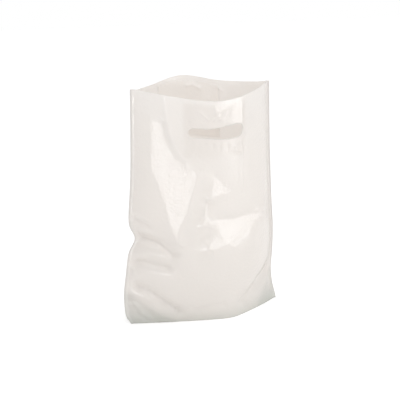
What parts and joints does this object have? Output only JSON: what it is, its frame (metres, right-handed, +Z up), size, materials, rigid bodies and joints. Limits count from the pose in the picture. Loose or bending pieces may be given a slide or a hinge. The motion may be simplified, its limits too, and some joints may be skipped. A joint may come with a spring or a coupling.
{
  "type": "plastic carrier bag",
  "caption": "White glossy film carrier bag standing open, with welded side seams, a folded-in base gusset and a hand slot through both panels and their patches.",
  "frame": {"origin": "on the floor, under the middle of the standing bag", "axes": "+Z up from the bottom folds to the rim, +X across the panels from weld to weld, -Y out of the front panel"},
  "size_m": [0.2542, 0.1061, 0.3447],
  "materials": {
    "bag_film": "thin glossy white polyethylene film, slightly translucent, softly creased",
    "patch_film": "the same glossy film, glued on and slightly puckered"
  },
  "bodies": {
    "root": {"bag_body": "bag_film", "front_handle_patch": "patch_film", "rear_handle_patch": "patch_film"}
  },
  "joints": []
}
